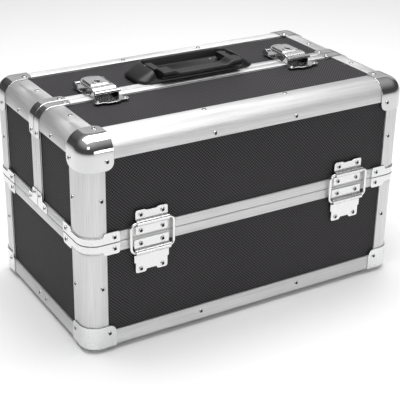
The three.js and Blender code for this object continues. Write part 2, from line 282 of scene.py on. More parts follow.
def felted(name, colour):
    f = Finish(name, colour, 0.95, sheen_weight=0.35, sheen_roughness=0.6)
    fibre = f.patch(1500, 6.0)
    f.wander(f.patch(700, 5.0), tuple(c * 0.6 for c in colour), tuple(c * 1.3 for c in colour))
    f.rough(fibre, 0.85, 1.0)
    f.relief(fibre, 0.0003)
    return f.material

HANDLE_BLACK = moulded("handle_black", (0.007, 0.007, 0.0075), 0.36)
TRAY_BLACK = moulded("tray_black", (0.02, 0.02, 0.022), 0.42)
RUBBER = moulded("foot_rubber", (0.01, 0.01, 0.01), 0.75, 500, 0.0001)
LINING = felted("black_lining", (0.02, 0.02, 0.022))
# Near-black painted shade: it fills the rivet hollows, with the grime that collects there, and shows through
# the keyway.
PAINTED_SHADE_AND_GRIME = moulded("painted_shade_and_grime", (0.004, 0.004, 0.004), 0.6)

def plain_sheet(name, colour):
    f = Finish(name, colour, 0.9)
    f.wander(f.patch(3), tuple(c * 0.985 for c in colour), colour)
    f.rough(f.patch(6), 0.85, 0.95)
    return f.material

PALE = plain_sheet("pale_sheet", (0.985, 0.985, 0.985))
print("finishes", [m.name for m in bpy.data.materials if m.users or m.use_nodes])

# %% [markdown]
# ## The maker's tools
# Nearly everything on this case is either a sheet bent along a line or a section drawn along a path. One
# helper turns points and faces into a piece that rides on its body, one draws a section along a path, one
# stamps a flat plate from an outline, and one sets rivets.

# %% Turn points into a piece
def build(name, points, faces, finish, body, uv=None, smooth=35, bevel=0.0, replaces=()):
    mesh = bpy.data.meshes.new(name)
    mesh.from_pydata([Vector(p) * MM for p in points], [], faces)
    layer = mesh.uv_layers.new(name="surface")
    for face in mesh.polygons:
        n = face.normal
        across = max(range(3), key=lambda k: abs(n[k]))
        for corner in face.loop_indices:
            if uv is not None:
                layer.data[corner].uv = uv[face.index][corner - face.loop_start]
            else:
                p = mesh.vertices[mesh.loops[corner].vertex_index].co
                layer.data[corner].uv = ((p.y, p.z), (p.x, p.z), (p.x, p.y))[across]
    shape = bmesh.new()
    shape.from_mesh(mesh)
    bmesh.ops.remove_doubles(shape, verts=shape.verts, dist=1e-7)
    bmesh.ops.recalc_face_normals(shape, faces=shape.faces)
    shape.to_mesh(mesh)
    shape.free()
    mesh.shade_smooth()
    mesh.set_sharp_from_angle(angle=math.radians(smooth))
    mesh.materials.append(finish)
    piece = bpy.data.objects.new(name, mesh)
    bpy.context.scene.collection.objects.link(piece)
    if bevel:
        edge = piece.modifiers.new("edge", "BEVEL")
        edge.width, edge.segments, edge.limit_method = bevel * MM, 2, "ANGLE"
        edge.angle_limit, edge.harden_normals = math.radians(40), True
    if body:
        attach(piece, body)
    if replaces:
        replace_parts(piece, *replaces)
    return piece

# %% [markdown]
# ## Sections along a path
# An extrusion or a bent strip has one outline repeated along a line. Blender's curves can do this, but
# joining rings of points by hand gives control of the outline at each step, such as a flap that gets lower.

# %% Draw a section along a path
def drawn(name, rings, finish, body, closed=False, **more):
    """Joins rings of points that all have the same count. The surface map runs along, then around."""
    count, steps = len(rings[0]), len(rings) if closed else len(rings) - 1
    along = [0.0]
    for i in range(steps):
        along.append(along[-1] + (Vector(rings[(i + 1) % len(rings)][0]) - Vector(rings[i][0])).length)
    around = [0.0]
    for j in range(count):
        around.append(around[-1] + (Vector(rings[0][(j + 1) % count]) - Vector(rings[0][j])).length)
    points, faces, uv = [p for ring in rings for p in ring], [], []
    for i in range(steps):
        for j in range(count):
            k, n = (i + 1) % len(rings), (j + 1) % count
            faces.append((i * count + j, i * count + n, k * count + n, k * count + j))
            uv.append([(along[a] * MM, around[b] * MM) for a, b in
                       ((i, j), (i, j + 1), (i + 1, j + 1), (i + 1, j))])
    if not closed:
        last = (len(rings) - 1) * count
        faces += [tuple(range(count)), tuple(range(last, last + count))]
        uv += [[(0.0, around[j] * MM) for j in range(count)]] * 2
    return build(name, points, faces, finish, body, uv=uv, **more)

def arc(cx, cy, r, start, end, steps=8):
    return [(cx + r * math.cos(math.radians(start + (end - start) * i / steps)),
             cy + r * math.sin(math.radians(start + (end - start) * i / steps))) for i in range(steps + 1)]

def tidy(outline):
    """Drops points that repeat the one before."""
    return [p for i, p in enumerate(outline) if math.dist(p, outline[i - 1]) > 1e-6]

# %% [markdown]
# ## Stamped plates
# A press cuts a flat outline from sheet, holes and all. Filling the outline and pushing the face out by the
# sheet's thickness is the same act, and a bevel then softens the cut edges.

# %% Stamp a plate from an outline
def stamped(name, loops, thick, place, finish, body, **more):
    """Cuts a sheet from 2-D loops (the first is the outline, the others are holes) and places it."""
    shape = bmesh.new()
    edges = []
    for loop in loops:
        ring = [shape.verts.new((x, y, 0)) for x, y in loop]
        edges += [shape.edges.new((ring[i - 1], ring[i])) for i in range(len(ring))]
    if len(loops) == 1:
        shape.faces.new(ring)
    else:
        bmesh.ops.triangle_fill(shape, use_beauty=True, use_dissolve=True, edges=edges)
    up = bmesh.ops.extrude_face_region(shape, geom=list(shape.faces))
    for v in up["geom"]:
        if isinstance(v, bmesh.types.BMVert):
            v.co.z += thick
    shape.verts.index_update()
    points = [place(*v.co) for v in shape.verts]
    faces = [tuple(v.index for v in f.verts) for f in shape.faces]
    shape.free()
    return build(name, points, faces, finish, body, **more)

def round_rect(x0, x1, y0, y1, r, steps=6):
    r = min(r, (x1 - x0) / 2 - 1e-3, (y1 - y0) / 2 - 1e-3)
    return (arc(x1 - r, y0 + r, r, -90, 0, steps) + arc(x1 - r, y1 - r, r, 0, 90, steps)
            + arc(x0 + r, y1 - r, r, 90, 180, steps) + arc(x0 + r, y0 + r, r, 180, 270, steps))

# %% [markdown]
# ## Turned rivets
# A rivet is round, so it is one profile spun about its axis. All the rivets of a group are joined in one
# piece, and the faces in each hollow take a near-black finish that is painted shade, with some grime.

# %% Rivets
def turned(profile, at, axis, sides=20):
    """Spins a (radius, height) profile about an axis and gives its points and faces."""
    z = Vector(axis).normalized()
    x = z.orthogonal().normalized()
    y = z.cross(x)
    points, faces = [], []
    for r, h in profile:
        for k in range(sides):
            a = 2 * math.pi * k / sides
            points.append(Vector(at) + x * r * math.cos(a) + y * r * math.sin(a) + z * h)
    for i in range(len(profile) - 1):
        for k in range(sides):
            n = (k + 1) % sides
            faces.append((i * sides + k, i * sides + n, (i + 1) * sides + n, (i + 1) * sides + k))
    faces.append(tuple(range((len(profile) - 1) * sides, len(profile) * sides)))
    faces.append(tuple(range(sides)))
    return points, faces

DOME = [(2.4, -0.3), (2.4, 0.12), (2.25, 0.55), (2.0, 0.84), (1.75, 0.94), (1.55, 0.9), (1.35, 0.35),
        (0.4, 0.3)]
EYE = 5                                         # the rows of the profile from here on lie in the hollow
HEAD_SIDES = 16

def rivets(name, spots, finish, body, size=1.0):
    """Domed hollow rivets at (place, outward direction) spots, as one piece."""
    points, faces = [], []
    for at, axis in spots:
        p, f = turned([(r * size, h * size) for r, h in DOME], at, axis, HEAD_SIDES)
        faces += [tuple(i + len(points) for i in face) for face in f]
        points += p
    piece = build(name, points, faces, finish, body, smooth=60)
    # The faces in each hollow take the near-black painted shade, with some grime.
    piece.data.materials.append(PAINTED_SHADE_AND_GRIME)
    rows = len(DOME) - 1
    for face in piece.data.polygons:
        place_in_head = face.index % (rows * HEAD_SIDES + 2)
        face.material_index = int(EYE * HEAD_SIDES <= place_in_head <= rows * HEAD_SIDES)
    return piece

# %% [markdown]
# ## Mirroring
# The case is the same on both sides and in both halves, so each piece is drawn once at the front left.
# Mirroring the points, rather than the object, keeps every normal and surface map right.

# %% Left and right, front and back
HALVES = {"front": 1, "rear": -1}
HANDS = {"left": 1, "right": -1}

def mirror(points, hand, half):
    """A point list of the front left turned into another corner's."""
    return [(p[0] * hand, p[1] * half, p[2]) for p in points]

def turn_spots(spots, hand, half):
    """Rivet spots of the front left turned into another corner's."""
    return [tuple(mirror(spot, hand, half)) for spot in spots]

CORNERS = [(f"{half}_{hand}", s, d, half) for half, d in HALVES.items() for hand, s in HANDS.items()]
print("corners", [c[0] for c in CORNERS])

# %% [markdown]
# ## The boards
# The walls are flat fibre boards covered in a black sheet with fine raised dots. Each board is cut short of
# the rounded corner and slides under the aluminium, so it is modelled as its own flat panel with a small
# eased edge. The dots are bump, because a relief this fine would need millions of faces.

# %% Boards
def slab(name, lo, hi, finish, body, bevel=0.3, **more):
    (x0, y0, z0), (x1, y1, z1) = lo, hi
    points = [(x, y, z) for x in (x0, x1) for y in (y0, y1) for z in (z0, z1)]
    faces = [(0, 1, 3, 2), (4, 6, 7, 5), (0, 4, 5, 1), (2, 3, 7, 6), (0, 2, 6, 4), (1, 5, 7, 3)]
    return build(name, points, faces, finish, body, bevel=bevel, **more)

IN = SKIN                                       # outer face of a board, in from the aluminium
xb, yb = X - EDGE_R + 0.5, Y - EDGE_R + 0.5     # where a board ends under the rounded edge
for half, d in HALVES.items():
    body = f"lid_{half}"
    near, far = sorted((d * -(Y - IN), d * -(Y - IN - BOARD)))
    slab(f"board_{half}_lid_wall", (-xb, near, PARTING + 2.3), (xb, far, TOP - EDGE_R + 0.5), COVERING, body)
    y0, y1 = sorted((d * -yb, d * -2.2))
    slab(f"board_{half}_lid_top", (-xb, y0, TOP - IN - BOARD), (xb, y1, TOP - IN), COVERING, body)
    for hand, s in HANDS.items():
        x0, x1 = sorted((s * -(X - IN), s * -(X - IN - BOARD)))
        slab(f"board_{half}_lid_{hand}", (x0, y0, PARTING + 2.3), (x1, y1, TOP - EDGE_R + 0.5), COVERING,
             body)
    slab(f"board_{half}_base", (-xb, near, BOTTOM + 2), (xb, far, PARTING - 2.3), COVERING, "base")
for hand, s in HANDS.items():
    x0, x1 = sorted((s * -(X - IN), s * -(X - IN - BOARD)))
    slab(f"board_{hand}_base", (x0, -yb, BOTTOM + 2), (x1, yb, PARTING - 2.3), COVERING, "base")
slab("board_floor", (-X + 7, -Y + 7, BOTTOM + 2), (X - 7, Y - 7, BOTTOM + 2 + BOARD), COVERING, "base",
     replaces=["base_floor"])

# %% [markdown]
# ## Aluminium edge extrusions
# The edges are drawn aluminium with a rounded corner and two legs that lie over the boards. A straight
# extrusion is a section carried along a line, so the section is drawn once as an outline with its thin
# eased lips and placed at each edge. The surface map runs along the bar, which makes the fine grooves run
# the right way on every piece.

# %% The section and its straight runs
def edge_section(leg_a, leg_b, r=EDGE_R, t=SKIN):
    """Rounded angle: a runs along one face, b along the other, both from the sharp corner."""
    lip = 0.55
    outside = [(leg_a - lip, 0), (r, 0)] + arc(r, r, r, 270, 180, 14)
    outside += [(0, leg_b - lip), (lip * 0.4, leg_b)]
    inside = [(t - 0.05, leg_b)] + arc(r, r, r - t, 180, 270, 10) + [(leg_a, t - 0.05), (leg_a, lip * 0.4)]
    return tidy(outside + inside)

def run(name, section, place, ends, finish, body, hand=1, half=1, **more):
    return drawn(name, [mirror([place(a, b, s) for a, b in section], hand, half) for s in ends],
                 finish, body, **more)

TOP_EDGE = edge_section(26, 21)
print("points in an edge section", len(TOP_EDGE))
POST = edge_section(22.5, 28)
for half, d in HALVES.items():
    body = f"lid_{half}"
    run(f"edge_{half}_top", TOP_EDGE, lambda a, b, s: (s, -Y + a, TOP - b), (-X + 14, X - 14), ALUMINIUM,
        body, 1, d, replaces=[f"lid_{half}_frame"])
    for hand, s in HANDS.items():
        run(f"edge_{half}_{hand}_top", TOP_EDGE, lambda a, b, t: (-X + a, t, TOP - b), (-Y + 14, -9.9),
            ALUMINIUM, body, s, d)
for name, s, d, half in CORNERS:
    run(f"post_lid_{name}", POST, lambda a, b, t: (-X + a, -Y + b, t), (PARTING + RIM, TOP - 14),
        ALUMINIUM, f"lid_{half}", s, d)
    run(f"post_base_{name}", POST, lambda a, b, t: (-X + a, -Y + b, t), (TRIM_TOP, PARTING - RIM),
        ALUMINIUM, "base", s, d, replaces=[f"base_post_{name}"])

# %% [markdown]
# ## Parting rims, split rims and bottom trim
# Where the lids meet the base, and where they meet each other, a channel wraps the board's edge. It is bent
# round the corners in one length, so its section follows a path of points and outward directions.

# %% Paths round the case
def path_round(half_x, half_y, r, whole=False, stop=0.15, steps=8):
    """Front half from the split on the left to the split on the right, or the whole way round."""
    turn = lambda cx, cy, a0, a1: [((cx + r * math.cos(math.radians(a)), cy + r * math.sin(math.radians(a))),
                                    (math.cos(math.radians(a)), math.sin(math.radians(a))))
                                   for a in [a0 + (a1 - a0) * i / steps for i in range(steps + 1)]]
    front = turn(-half_x + r, -half_y + r, 180, 270) + turn(half_x - r, -half_y + r, 270, 360)
    if whole:
        return front + turn(half_x - r, half_y - r, 0, 90) + turn(-half_x + r, half_y - r, 90, 180)
    return [((-half_x, -stop), (-1, 0))] + front + [((half_x, -stop), (1, 0))]

def bent(name, section, path, place, finish, body, half=1, **more):
    """Carries (out, along) section points round a path of (point, outward) pairs."""
    rings = [mirror([place(p[0] + n[0] * o, p[1] + n[1] * o, q) for o, q in section], 1, half)
             for p, n in path]
    return drawn(name, rings, finish, body, **more)

CHANNEL = tidy([(-7.6, 0), (-0.7, 0)] + arc(-0.7, 0.7, 0.7, -90, 0, 4) + [
    (0, RIM - 0.5), (-0.25, RIM), (-SKIN + 0.05, RIM), (-SKIN + 0.05, 2.2), (-SKIN - BOARD - 0.05, 2.2),
    (-SKIN - BOARD - 0.05, 6), (-7.3, 6), (-7.6, 5.7)])
for half, d in HALVES.items():
    body = f"lid_{half}"
    bent(f"rim_{half}_lid", CHANNEL, path_round(X, Y, EDGE_R), lambda x, y, q: (x, y, PARTING + 0.15 + q),
         ALUMINIUM, body, d)
    bend = zip(arc(-X + EDGE_R, TOP - EDGE_R, EDGE_R, 180, 90), arc(0, 0, 1, 180, 90))
    over = [((-X, PARTING + RIM + 0.1), (-1, 0))] + list(bend)
    over += [((-p[0], p[1]), (-n[0], n[1])) for p, n in reversed(over)]
    bent(f"rim_{half}_split", CHANNEL, over, lambda x, z, q: (x, -0.15 - q, z), ALUMINIUM, body, d)
whole = path_round(X, Y, EDGE_R, whole=True)
bent("rim_base", CHANNEL, whole, lambda x, y, q: (x, y, PARTING - 0.15 - q), ALUMINIUM, "base", closed=True,
     replaces=["base_rim"])
FOOT_TRIM = tidy([(0, 16.5), (0, 3)] + arc(-3, 3, 3, 0, -90, 5) + [(-14, 0), (-14, SKIN), (-3.2, SKIN),
                 (-SKIN + 0.05, 3.4), (-SKIN + 0.05, 17), (-0.3, 17)])
bent("trim_bottom", FOOT_TRIM, whole, lambda x, y, q: (x, y, BOTTOM + q), ALUMINIUM, "base", closed=True,
     replaces=["base_bottom_trim"])

# %% [markdown]
# ## Chromed ball corners
# A ball corner is pressed from one sheet: a rounded middle and three flaps. It is drawn as three grids of
# points on a sharp corner, each flap's free corner eased, and every point is then pulled on to the rounded
# corner. A solidify gives the sheet its thickness.

# %% Ball corners
CAP, CAP_T, CAP_R = 31.0, 1.2, 8.0

def onto_round(p, r=EDGE_R):
    """Pulls a point of the sharp outer corner at the front left on to the rounded one."""
    core = Vector((max(p[0], -X + r), max(p[1], -Y + r), min(p[2], TOP - r)))
    d = Vector(p) - core
    return core + d.normalized() * (r + CAP_T)

def eased(a, b, size, r):
    """Moves a grid point so that the flap's free corner is rounded."""
    if a <= size - r or b <= size - r:
        return a, b
    da, db = (a - size + r) / r, (b - size + r) / r
    k = max(da, db) / math.hypot(da, db)
    return size - r + r * da * k, size - r + r * db * k

reach = EDGE_R + CAP_T
ticks = [reach - reach * math.tan(math.radians(45 * (1 - i / 6))) for i in range(7)]
ticks += [reach + (CAP + CAP_T - reach) * i / 6 for i in range(1, 6)] + [CAP + CAP_T - 0.35, CAP + CAP_T]

def grid_faces(start, rows, across):
    """The quads of a grid of points whose first point has the index start."""
    return [(start + i * across + j, start + i * across + j + 1, start + (i + 1) * across + j + 1,
             start + (i + 1) * across + j) for i in range(rows - 1) for j in range(across - 1)]

def ball_corner():
    points, faces = [], []
    size = CAP + CAP_T
    sides = [lambda a, b: (-X - CAP_T + a, -Y - CAP_T, TOP + CAP_T - b),
             lambda a, b: (-X - CAP_T, -Y - CAP_T + a, TOP + CAP_T - b),
             lambda a, b: (-X - CAP_T + a, -Y - CAP_T + b, TOP + CAP_T)]
    for side in sides:
        faces += grid_faces(len(points), len(ticks), len(ticks))
        points += [tuple(onto_round(side(*eased(a, b, size, CAP_R)))) for a in ticks for b in ticks]
    return points, faces

ball_points, ball_faces = ball_corner()
for name, s, d, half in CORNERS:
    cap = build(f"ball_corner_{name}", mirror(ball_points, s, d), ball_faces, CHROME, f"lid_{half}",
                smooth=70, replaces=[f"lid_corner_{name}"])
    sheet = cap.modifiers.new("sheet", "SOLIDIFY")
    sheet.thickness, sheet.offset = (CAP_T - 0.02) * MM, -1
    lip = cap.modifiers.new("lip", "BEVEL")
    lip.width, lip.segments, lip.limit_method, lip.angle_limit = 0.3 * MM, 2, "ANGLE", math.radians(60)
print("ball corner faces", len(ball_faces))

# %% [markdown]
# ## Bottom caps and feet
# The bottom corners have plain satin caps of the same sheet, and a black bumper under each. The cap is a
# section carried round the corner whose top edge drops at both ends, which gives the rounded flaps.

# %% Bottom caps and feet
def corner_path(leg_front, leg_side, r=EDGE_R, steps=10, fine=1.0):
    """From the front leg's end round the corner to the side leg's, with the distance to the nearer end."""
    front = [leg_front - r - i * fine for i in range(int((leg_front - r) / fine) + 1)]
    side = [leg_side - r - i * fine for i in range(int((leg_side - r) / fine) + 1)]
    path = [((-X + r + a, -Y), (0, -1), leg_front - r - a) for a in front]
    path += [((-X + r + r * math.cos(t), -Y + r + r * math.sin(t)), (math.cos(t), math.sin(t)), 99.0)
             for t in [math.radians(270 - 90 * i / steps) for i in range(steps + 1)]]
    path += [((-X, -Y + r + a), (-1, 0), leg_side - r - a) for a in reversed(side)]
    return path

def round_end(s, r):
    """How much lower an edge with an end radius r is at distance s from the end."""
    return 0.0 if s >= r else r - math.sqrt(max(0.0, r * r - (r - s) ** 2))

def bottom_cap():
    rings = []
    for (x, y), (nx, ny), s in corner_path(30, 30):
        top = 24 - round_end(s, 7)
        section = [(CAP_T, top - 0.3), (CAP_T, 3)] + arc(-2.2, 2.2, 3.4, 0, -90, 5)[1:] + [
            (-14, -CAP_T), (-14, -0.05), (-2.5, -0.05), (0.05, 2.6), (0.05, top), (CAP_T - 0.3, top)]
        rings.append([(x + nx * o, y + ny * o, BOTTOM + q) for o, q in section])
    return rings

cap_rings = bottom_cap()
for name, s, d, half in CORNERS:
    drawn(f"bottom_cap_piece_{name}", [mirror(r, s, d) for r in cap_rings], CAP_STEEL, "base",
          replaces=[f"bottom_cap_{name}"])
    at = mirror([(-X + 17, -Y + 17, 0)], s, d)[0]
    p, f = turned([(5.2, 0.0), (6.0, 0.25), (6.7, 1.0), (6.8, 3.2)], at, (0, 0, 1), 28)
    build(f"bumper_{name}", p, f, RUBBER, "base", replaces=[f"foot_{name}"], smooth=50)
print("rings in a bottom cap", len(cap_rings))

# %% [markdown]
# ## Mid corner brackets
# At the parting line each rounded corner carries two pressed straps, one on the lid and one on the base.
# They are low round the corner and stand taller where they are riveted. The same corner path serves, with
# a height that changes along it.

# %% Mid corner brackets
def strap(low, tall, tab, leg_front, leg_side, thick=1.0):
    rings = []
    for (x, y), (nx, ny), s in corner_path(leg_front, leg_side, fine=0.75):
        blend = min(1.0, max(0.0, (s - tab) / 2.5))
        height = tall + (low - tall) * blend * blend * (3 - 2 * blend) - round_end(s, 2.5)
        rings.append((x, y, nx, ny, height, thick))
    return rings

def strap_rings(rings, base_z, up):
    out = []
    for x, y, nx, ny, h, t in rings:
        section = [(0.02, 0.3), (t - 0.25, 0.3), (t, 0.6), (t, h - 0.35), (t - 0.3, h), (0.02, h)]
        out.append([(x + nx * o, y + ny * o, base_z + up * q) for o, q in section])
    return out

for name, s, d, half in CORNERS:
    shape = strap(7.6, 11.6, 15.5, 35.5, 44)
    for where, up, body in (("lid", 1, f"lid_{half}"), ("base", -1, "base")):
        rings = [mirror(r, s, d) for r in strap_rings(shape, PARTING, up)]
        drawn(f"strap_{where}_{name}", rings, NICKEL, body)
    for where, z, body in (("lid", PARTING + 5.8, f"lid_{half}"), ("base", PARTING - 5.8, "base")):
        spots = [((-X + 30, -Y - 1, z), (0, -1, 0)), ((-X - 1, -Y + 38, z), (-1, 0, 0))]
        rivets(f"strap_rivets_{where}_{name}", turn_spots(spots, s, d), NICKEL, body)
print("straps done")

# %% [markdown]
# ## Brackets on the split
# Where the two lid halves meet, small plates lap over the top edge, and an angle plate ties the split rim
# to the parting rim low on each side. They are thin sheet, so a short bent strip and a stamped plate do.

# %% Split brackets
def over_edge_strip(y0, y1, leg_top, leg_side, thick=1.0):
    """A strip across the top edge at the left: from the side wall, over the rounding, on to the top."""
    r = EDGE_R
    path = [((-X, TOP - leg_side + i * 1.0), (-1, 0), float(i)) for i in range(int(leg_side - r) + 1)]
    path += [((-X + r + r * math.cos(t), TOP - r + r * math.sin(t)), (math.cos(t), math.sin(t)), 99.0)
             for t in [math.radians(180 - 90 * i / 10) for i in range(11)]]
    path += [((-X + leg_top - i * 1.0, TOP), (0, 1), float(i)) for i in range(int(leg_top - r) + 1)][::-1]
    rings = []
    for (x, z), (nx, nz), s in path:
        trim = round_end(s, 3.5)
        section = [(0.02, y0), (thick - 0.25, y0), (thick, y0 - 0.3), (thick, y1 + 0.3 + trim),
                   (thick - 0.25, y1 + trim), (0.02, y1 + trim)]
        rings.append([(x + nx * o, y, z + nz * o) for o, y in section])
    return rings

for name, s, d, half in CORNERS:
    body = f"lid_{half}"
    rings = over_edge_strip(-0.6, -11.5, 34, 30)
    drawn(f"split_strip_{name}", [mirror(r, s, d) for r in rings], CHROME, body)
    angle = [(-0.6, 0.4), (-22, 0.4), (-22, 8), (-20, 10), (-11.5, 10), (-11.5, 16), (-9.5, 18), (-0.6, 18)]
    stamped(f"split_angle_{name}", [angle], 1.0,
            lambda y, z, t: mirror([(-X - t, y, PARTING + z)], s, d)[0], NICKEL, body, bevel=0.3)
    spots = [((-X + 29, -6, TOP + 1), (0, 0, 1)), ((-X - 1, -6, TOP - 25), (-1, 0, 0)),
             ((-X - 1, -6, PARTING + 13.5), (-1, 0, 0)), ((-X - 1, -17, PARTING + 5), (-1, 0, 0))]
    rivets(f"split_rivets_{name}", turn_spots(spots, s, d), NICKEL, body, 0.9)

# %% [markdown]
# ## Rivets along the extrusions
# Domed hollow rivets pin the aluminium to the boards and the caps to the aluminium. They are one turned
# profile set at a list of places, because a real assembler uses one rivet size for the lot. The hollow in
# each head is painted near black: painted shade, with the grime that collects there too.

# %% Rivets on the edges
for name, s, d, half in CORNERS:
    lid = [((-X + 18, -Y, PARTING + 44), (0, -1, 0)), ((-X, -Y + 22, PARTING + 44), (-1, 0, 0)),
           ((-X + 20, -38, TOP), (0, 0, 1)), ((-X, -38, TOP - 16.5), (-1, 0, 0)),
           ((-46, -Y, TOP - 16.5), (0, -1, 0)), ((-46, -Y + 21, TOP), (0, 0, 1)),
           ((-X + 24, -Y - CAP_T, TOP - 22), (0, -1, 0)), ((-X - CAP_T, -Y + 24, TOP - 22), (-1, 0, 0)),
           ((-X + 24, -Y + 24, TOP + CAP_T), (0, 0, 1))]
    low = [((-X + 17, -Y, PARTING - 46), (0, -1, 0)), ((-X, -Y + 22, PARTING - 46), (-1, 0, 0)),
           ((-58, -Y, BOTTOM + 10), (0, -1, 0)), ((-X, -8, BOTTOM + 10), (-1, 0, 0)),
           ((-X + 23, -Y - CAP_T, BOTTOM + 16), (0, -1, 0)),
           ((-X - CAP_T, -Y + 23, BOTTOM + 16), (-1, 0, 0))]
    for where, spots, body in (("lid", lid, f"lid_{half}"), ("base", low, "base")):
        rivets(f"edge_rivets_{where}_{name}", turn_spots(spots, s, d), NICKEL, body)

# %% [markdown]
# ## Ring-link hinges
# Each hinge is two pressed plates and a wire ring. A plate lies on the wall, is riveted above and below, and
# curls forward round the ring's rod. The curl and plate are one bent sheet, drawn as a section carried
# across; the riveted ears are stamped. The ring is a round section carried round a rounded oblong.

# %% Hinge plates
HINGE_X = (low_high("hinge_ring_front_left")[0].x + low_high("hinge_ring_front_left")[1].x) / -2
PIVOT_Y = (low_high("hinge_ring_front_left")[0].y + low_high("hinge_ring_front_left")[1].y) / 2
PIVOT_Z = 15.0                                  # how far each ring pivot is from the parting line
G_Z, K_Z = PARTING - PIVOT_Z, PARTING + PIVOT_Z
PLATE = 1.2

def curl_section():
    """Sheet on the wall (toward the parting line), round the rod, and back to the wall beyond it."""
    r = 1.75 + PLATE
    curve = arc(PIVOT_Y, 0, r, 270, 90, 12)
    inner = arc(PIVOT_Y, 0, 1.62, 90, 270, 10)
    front = [(-Y - PLATE, -r - 0.6), (PIVOT_Y, -r)] + curve[1:-1] + [(PIVOT_Y, r), (-Y - PLATE, r + 0.6)]
    back = [(-Y - 0.02, r + 0.4), (-Y - 0.02, 1.62), (PIVOT_Y, 1.62)] + inner[1:-1]
    return front + back + [(PIVOT_Y, -1.62), (-Y - 0.02, -1.62), (-Y - 0.02, -r - 0.4)]

def eared(half_w, z0, z1, notch, up):
    """Plate with round far corners and a shallow notch between its two rivets."""
    side = [(half_w, z0), (half_w, z1 - up * 2), (half_w - 0.6, z1 - up * 0.6), (half_w - 2, z1),
            (7.5, z1), (6, z1 - up * 0.6), (5, z1 - up * notch)]
    return side + [(-x, z) for x, z in reversed(side)]

for name, s, d, half in CORNERS:
    put = lambda x, y, z: mirror([(x - HINGE_X, y, z)], s, d)[0]
    for part, body, pivot, up, half_w in (("lid", f"lid_{half}", K_Z, 1, 17.0),
                                          ("base", "base", G_Z, -1, 18.5)):
        rings = [[put(x, y, pivot + z) for y, z in curl_section()] for x in (-half_w, half_w)]
        drawn(f"hinge_{part}_curl_{name}", rings, NICKEL, body, replaces=[f"hinge_{part}_plate_{name}"],
              smooth=40)
        far = eared(17.0, pivot + up * (2.5 if up > 0 else 11.5), pivot + up * (12.4 if up > 0 else 23.2),
                    1.4 if up > 0 else 2.6, up)
        on_wall = lambda x, z, t: put(x, -Y - t, z)
        stamped(f"hinge_{part}_ears_{name}", [far], PLATE, on_wall, NICKEL, body, bevel=0.3)
        if up < 0:
            apron = round_rect(-half_w, half_w, pivot - 12, pivot - 2.5, 0.8, 3)
            stamped(f"hinge_base_apron_{name}", [apron], PLATE, on_wall, NICKEL, body, bevel=0.3)
        near = round_rect(-half_w, half_w, *sorted((PARTING + up * 2.4, pivot - up * 2.5)), 1.6, 4)
        stamped(f"hinge_{part}_leaf_{name}", [near], PLATE, on_wall, NICKEL, body, bevel=0.3)
        rows = (K_Z + 7.6, PARTING + 6.3) if up > 0 else (G_Z - 19, PARTING - 7.2)
        spots = [(put(x, -Y - PLATE, z), (0, -d, 0)) for x in (-11.5, 11.5) for z in rows]
        rivets(f"hinge_{part}_rivets_{name}", spots, NICKEL, body)

# %% [markdown]
# ## Hinge rings
# A ring is one wire bent into a rounded oblong. A circle of points is carried along its centre line, turned
# at each step to stay square to it. It is its own piece, because it turns in both plates.

# %% Hinge rings
def wire_ring(half_w, z0, z1, y, r=1.5, turn=5.0, sides=14):
    centre = round_rect(-half_w, half_w, z0, z1, turn, 7)
    n = len(centre)
    rings = []
    for i in range(n):
        ax, az = centre[i - 1][0] - centre[(i + 1) % n][0], centre[i - 1][1] - centre[(i + 1) % n][1]
        length = math.hypot(ax, az)
        nx, nz = az / length, -ax / length
        turns = [2 * math.pi * k / sides for k in range(sides)]
        rings.append([(centre[i][0] + nx * r * math.cos(t), y + r * math.sin(t),
                       centre[i][1] + nz * r * math.cos(t)) for t in turns])
    return rings

for name, s, d, half in CORNERS:
    rings = [[mirror([(x - HINGE_X, y, z)], s, d)[0] for x, y, z in ring]
             for ring in wire_ring(22.5, G_Z, K_Z, PIVOT_Y)]
    drawn(f"ring_{name}", rings, WIRE, f"rings_{half}", closed=True, smooth=70,
          replaces=[f"hinge_ring_{name}"])
print("hinges done, pivot", round(PIVOT_Y, 2))

# %% [markdown]
# ## Key latches
# A pressed lever lies over the split and drops on to a catch. The lever is one sheet: a flat back with a
# round end, a raised middle with a groove along each side of it, and edges turned down. A grid of points
# with a height rule makes it, then a solidify gives the sheet its thickness. The lock is a stamped disc with
# a keyway cut through it over a black disc of painted shade, which stands in for the shade inside the
# keyhole.

# %% Latch sheets
LATCH_X, LATCH_W = 112.0, 16.0

def pressed(name, rows, across, height, finish, body, thick, **more):
    """A sheet from rows of (y, half width); height(y, part) gives z, part running -1 to 1 across."""
    points, faces = [], []
    for y, w in rows:
        for a in across:
            points.append((a * w, y, height(y, a)))
    n = len(across)
    for i in range(len(rows) - 1):
        for j in range(n - 1):
            faces.append((i * n + j, i * n + j + 1, (i + 1) * n + j + 1, (i + 1) * n + j))
    place = more.pop("place")
    piece = build(name, [place(*p) for p in points], faces, finish, body, smooth=50, **more)
    sheet = piece.modifiers.new("sheet", "SOLIDIFY")
    sheet.thickness, sheet.offset = thick * MM, -1
    lip = piece.modifiers.new("lip", "BEVEL")
    lip.width, lip.segments, lip.limit_method, lip.angle_limit = 0.2 * MM, 2, "ANGLE", math.radians(50)
    return piece

EDGE_STEPS = (0.72, 0.76, 0.79, 0.82, 0.85, 0.88, 0.91, 0.94, 0.97, 1.0)
ACROSS = [-a for a in reversed(EDGE_STEPS)] + [-0.4, 0, 0.4] + list(EDGE_STEPS)

def ease(v, low, high):
    """0 below low, 1 above high, smooth between."""
    k = min(1.0, max(0.0, (v - low) / (high - low)))
    return k * k * (3 - 2 * k)

def lever_rows():
    rows = [(y, 13.2) for y in (-8.1, -7.7, -6.8, -4, -1, 0.4, 1.2, 2, 2.8, 6, 12, 18)]
    return rows + [(18 + 11.8 * math.sin(math.radians(t)), max(2.0, 13.2 * math.cos(math.radians(t))))
                   for t in (10, 20, 30, 40, 50, 60, 70, 80)]

